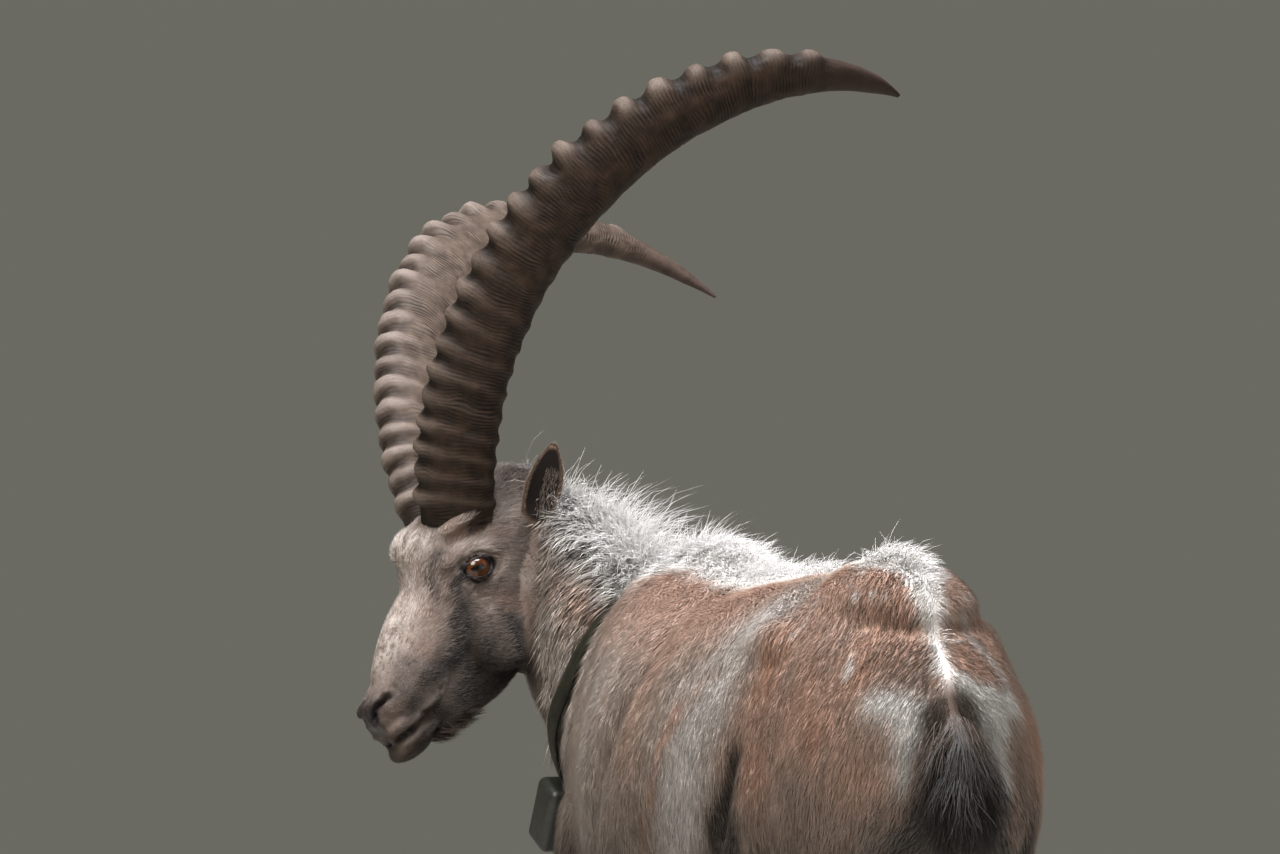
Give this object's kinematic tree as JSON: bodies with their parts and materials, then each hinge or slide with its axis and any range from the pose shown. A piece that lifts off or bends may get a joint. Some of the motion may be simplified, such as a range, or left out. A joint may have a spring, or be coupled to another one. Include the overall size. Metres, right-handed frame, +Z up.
{
  "type": "alpine ibex model",
  "caption": "Life-size still model of an adult male alpine ibex standing with its head turned back over its left shoulder, wearing a tracking collar.",
  "frame": {"origin": "middle of the model's box, on the floor under it", "axes": "+Z up, +X from the tail towards the chest, +Y to the animal's left"},
  "size_m": [1.6586, 0.5805, 1.4238],
  "materials": {
    "coat": "short grey-brown and chestnut coat with a white crest of longer hair",
    "dark_coat": "dark brown brush of longer hair",
    "horn": "ringed and knobbed keratin, dusty grey brown, worn smooth at the tips",
    "hoof": "dark keratin, scuffed",
    "eye": "wet amber eye with a dark slit pupil",
    "collar_band": "dark olive black strap, worn",
    "collar_case": "black moulded case"
  },
  "bodies": {
    "root": {"torso": "coat", "neck": "coat", "head": "coat", "tail": "dark_coat", "foreleg_left": "coat", "foreleg_right": "coat", "hindleg_left": "coat", "hindleg_right": "coat", "ear_left": "coat", "ear_right": "coat", "eye_left": "eye", "eye_right": "eye", "horn_left": "horn", "horn_right": "horn", "collar_band": "collar_band", "collar_case": "collar_case", "hoof_fore_left_outer": "hoof", "hoof_fore_left_inner": "hoof", "hoof_fore_right_outer": "hoof", "hoof_fore_right_inner": "hoof", "hoof_hind_left_outer": "hoof", "hoof_hind_left_inner": "hoof", "hoof_hind_right_outer": "hoof", "hoof_hind_right_inner": "hoof"}
  },
  "joints": []
}
